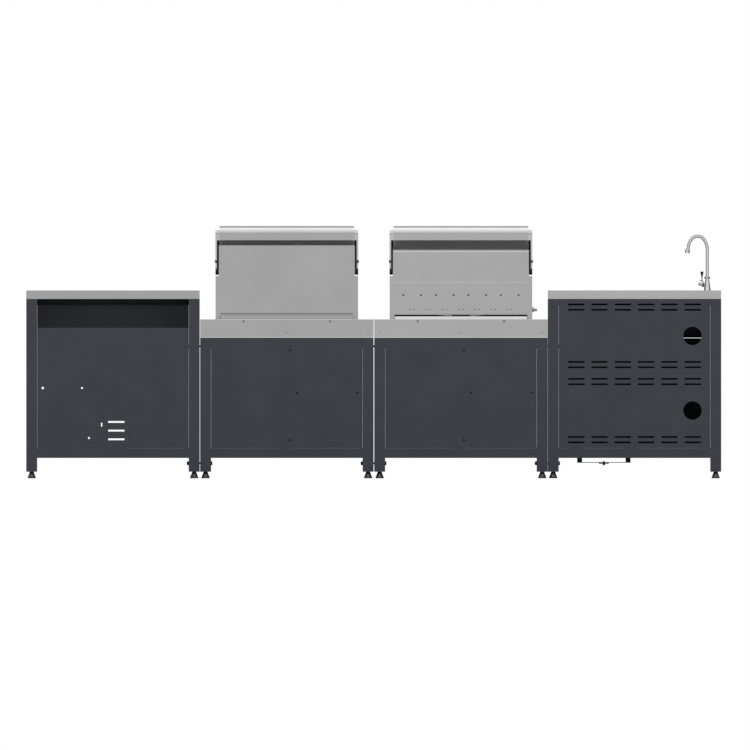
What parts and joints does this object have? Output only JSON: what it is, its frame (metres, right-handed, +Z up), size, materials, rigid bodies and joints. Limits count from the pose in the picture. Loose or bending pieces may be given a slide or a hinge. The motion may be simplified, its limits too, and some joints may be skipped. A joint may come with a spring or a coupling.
{
  "type": "modular outdoor kitchen",
  "caption": "Modular outdoor kitchen: steel-framed storage, charcoal grill, gas grill and sink units bolted side by side, with hoods, doors, trays and a swivel faucet.",
  "frame": {"origin": "under the middle of the bounding box, on the ground", "axes": "+X towards the storage unit along the row, -Y towards the cook, +Z up"},
  "size_m": [3.4214, 0.622, 1.242],
  "materials": {
    "slate_paint": "satin powder coat",
    "stainless": "brushed",
    "gauge_steel": "polished rim",
    "brass_valves": "machined",
    "cast_iron": "enamelled",
    "fire_steel": "black enamel",
    "chrome": "polished",
    "black_coat": "black powder coat",
    "black_rubber": "matt",
    "knob_black": "fine grain"
  },
  "bodies": {
    "frame": {"levelling_feet": "black_rubber", "store_posts": "slate_paint", "charcoal_posts": "slate_paint", "gas_posts": "slate_paint", "sink_posts": "slate_paint", "tall_rails": "slate_paint", "low_rails": "slate_paint", "tall_side_panels": "slate_paint", "low_side_panels": "slate_paint", "cabinet_floors": "slate_paint", "store_rear_panel": "slate_paint", "charcoal_rear_panel": "slate_paint", "gas_rear_panel": "slate_paint", "sink_rear_upper": "slate_paint", "sink_rear_lower": "slate_paint", "cabinet_fascias": "slate_paint", "store_worktop": "stainless", "sink_worktop": "stainless", "charcoal_surround": "stainless", "gas_surround": "stainless", "charcoal_front_panel": "stainless", "gas_control_panel": "stainless", "charcoal_firebox": "stainless", "gas_firebox": "stainless", "charcoal_grates": "stainless", "gas_grates": "cast_iron", "gas_burners": "stainless", "gas_manifold": "brass_valves", "flame_tamers": "stainless", "rear_burner": "stainless", "sink_basin": "stainless", "basin_waste": "chrome", "faucet_body": "chrome", "cylinder_cradle": "black_coat", "joining_bolts": "black_coat", "pivot_pins": "stainless"},
    "sink_door_left": {"sink_door_left": "slate_paint"},
    "sink_door_right": {"sink_door_right": "slate_paint"},
    "charcoal_door_left": {"charcoal_door_left": "slate_paint"},
    "charcoal_door_right": {"charcoal_door_right": "slate_paint"},
    "gas_door_left": {"gas_door_left": "slate_paint"},
    "gas_door_right": {"gas_door_right": "slate_paint"},
    "gas_knob_1": {"gas_knob_1": "knob_black"},
    "gas_knob_2": {"gas_knob_2": "knob_black"},
    "gas_knob_3": {"gas_knob_3": "knob_black"},
    "gas_knob_4": {"gas_knob_4": "knob_black"},
    "gas_knob_5": {"gas_knob_5": "knob_black"},
    "charcoal_lid": {"charcoal_hood": "stainless", "charcoal_hood_handle": "stainless", "charcoal_gauge": "gauge_steel"},
    "gas_lid": {"gas_hood": "stainless", "gas_hood_handle": "stainless", "gas_gauge": "gauge_steel"},
    "faucet_spout": {"faucet_spout": "chrome"},
    "faucet_lever": {"faucet_lever": "knob_black"},
    "gas_grease_tray": {"gas_grease_tray": "stainless"},
    "ash_tray": {"ash_tray": "stainless"},
    "charcoal_pan": {"charcoal_pan": "fire_steel"},
    "lift_crank": {"lift_crank": "stainless"},
    "cradle_screw": {"cradle_screw": "black_coat"}
  },
  "joints": [
    {"name": "sink_door_left_hinge", "type": "hinge", "parent": "frame", "child": "sink_door_left", "pos_m": [-1.6437, -0.279, 0.15], "axis": [0, 0, -1], "range_deg": [0, 95]},
    {"name": "sink_door_right_hinge", "type": "hinge", "parent": "frame", "child": "sink_door_right", "pos_m": [-0.9237, -0.279, 0.15], "axis": [0, 0, 1], "range_deg": [0, 95]},
    {"name": "charcoal_door_left_hinge", "type": "hinge", "parent": "frame", "child": "charcoal_door_left", "pos_m": [0.0677, -0.279, 0.15], "axis": [0, 0, -1], "range_deg": [0, 95]},
    {"name": "charcoal_door_right_hinge", "type": "hinge", "parent": "frame", "child": "charcoal_door_right", "pos_m": [0.7877, -0.279, 0.15], "axis": [0, 0, 1], "range_deg": [0, 95]},
    {"name": "gas_door_left_hinge", "type": "hinge", "parent": "frame", "child": "gas_door_left", "pos_m": [-0.7893, -0.279, 0.15], "axis": [0, 0, -1], "range_deg": [0, 95]},
    {"name": "gas_door_right_hinge", "type": "hinge", "parent": "frame", "child": "gas_door_right", "pos_m": [-0.0693, -0.279, 0.15], "axis": [0, 0, 1], "range_deg": [0, 95]},
    {"name": "gas_knob_1_turn", "type": "hinge", "parent": "frame", "child": "gas_knob_1", "pos_m": [-0.6693, -0.281, 0.885], "axis": [0, 1, 0], "range_deg": [-210, 0]},
    {"name": "gas_knob_2_turn", "type": "hinge", "parent": "frame", "child": "gas_knob_2", "pos_m": [-0.5093, -0.281, 0.885], "axis": [0, 1, 0], "range_deg": [-210, 0]},
    {"name": "gas_knob_3_turn", "type": "hinge", "parent": "frame", "child": "gas_knob_3", "pos_m": [-0.4293, -0.281, 0.885], "axis": [0, 1, 0], "range_deg": [-210, 0]},
    {"name": "gas_knob_4_turn", "type": "hinge", "parent": "frame", "child": "gas_knob_4", "pos_m": [-0.3493, -0.281, 0.885], "axis": [0, 1, 0], "range_deg": [-210, 0]},
    {"name": "gas_knob_5_turn", "type": "hinge", "parent": "frame", "child": "gas_knob_5", "pos_m": [-0.1893, -0.281, 0.885], "axis": [0, 1, 0], "range_deg": [-210, 0]},
    {"name": "charcoal_hood_hinge", "type": "hinge", "parent": "frame", "child": "charcoal_lid", "pos_m": [0.4277, 0.231, 1.069], "axis": [-1, 0, 0], "range_deg": [0, 88]},
    {"name": "gas_hood_hinge", "type": "hinge", "parent": "frame", "child": "gas_lid", "pos_m": [-0.4293, 0.231, 1.069], "axis": [-1, 0, 0], "range_deg": [0, 88]},
    {"name": "spout_swivel", "type": "hinge", "parent": "frame", "child": "faucet_spout", "pos_m": [-1.642, 0.011, 0.99], "axis": [0, 0, 1], "range_deg": [-90, 90]},
    {"name": "faucet_lever_turn", "type": "hinge", "parent": "frame", "child": "faucet_lever", "pos_m": [-1.642, 0.011, 0.945], "axis": [0.9563, 0, 0.2924], "range_deg": [-35, 35]},
    {"name": "grease_tray_slide", "type": "slide", "parent": "frame", "child": "gas_grease_tray", "axis": [0, 1, 0], "range_m": [0, 0.4]},
    {"name": "ash_tray_slide", "type": "slide", "parent": "frame", "child": "ash_tray", "axis": [0, -1, 0], "range_m": [0, 0.5]},
    {"name": "charcoal_pan_lift", "type": "slide", "parent": "frame", "child": "charcoal_pan", "axis": [0, 0, 1], "range_m": [0, 0.06]},
    {"name": "lift_crank_turn", "type": "hinge", "parent": "frame", "child": "lift_crank", "pos_m": [0.4277, -0.281, 0.84], "axis": [0, 1, 0], "range_deg": [-720, 0]},
    {"name": "cradle_screw_turn", "type": "hinge", "parent": "frame", "child": "cradle_screw", "pos_m": [-1.1329, 0.011, 0.0766], "axis": [0, 0, 1], "continuous": true}
  ],
  "couplings": [
    {"joint": "lift_crank_turn", "follows": "charcoal_pan_lift", "rad_per_m": -203.62}
  ]
}
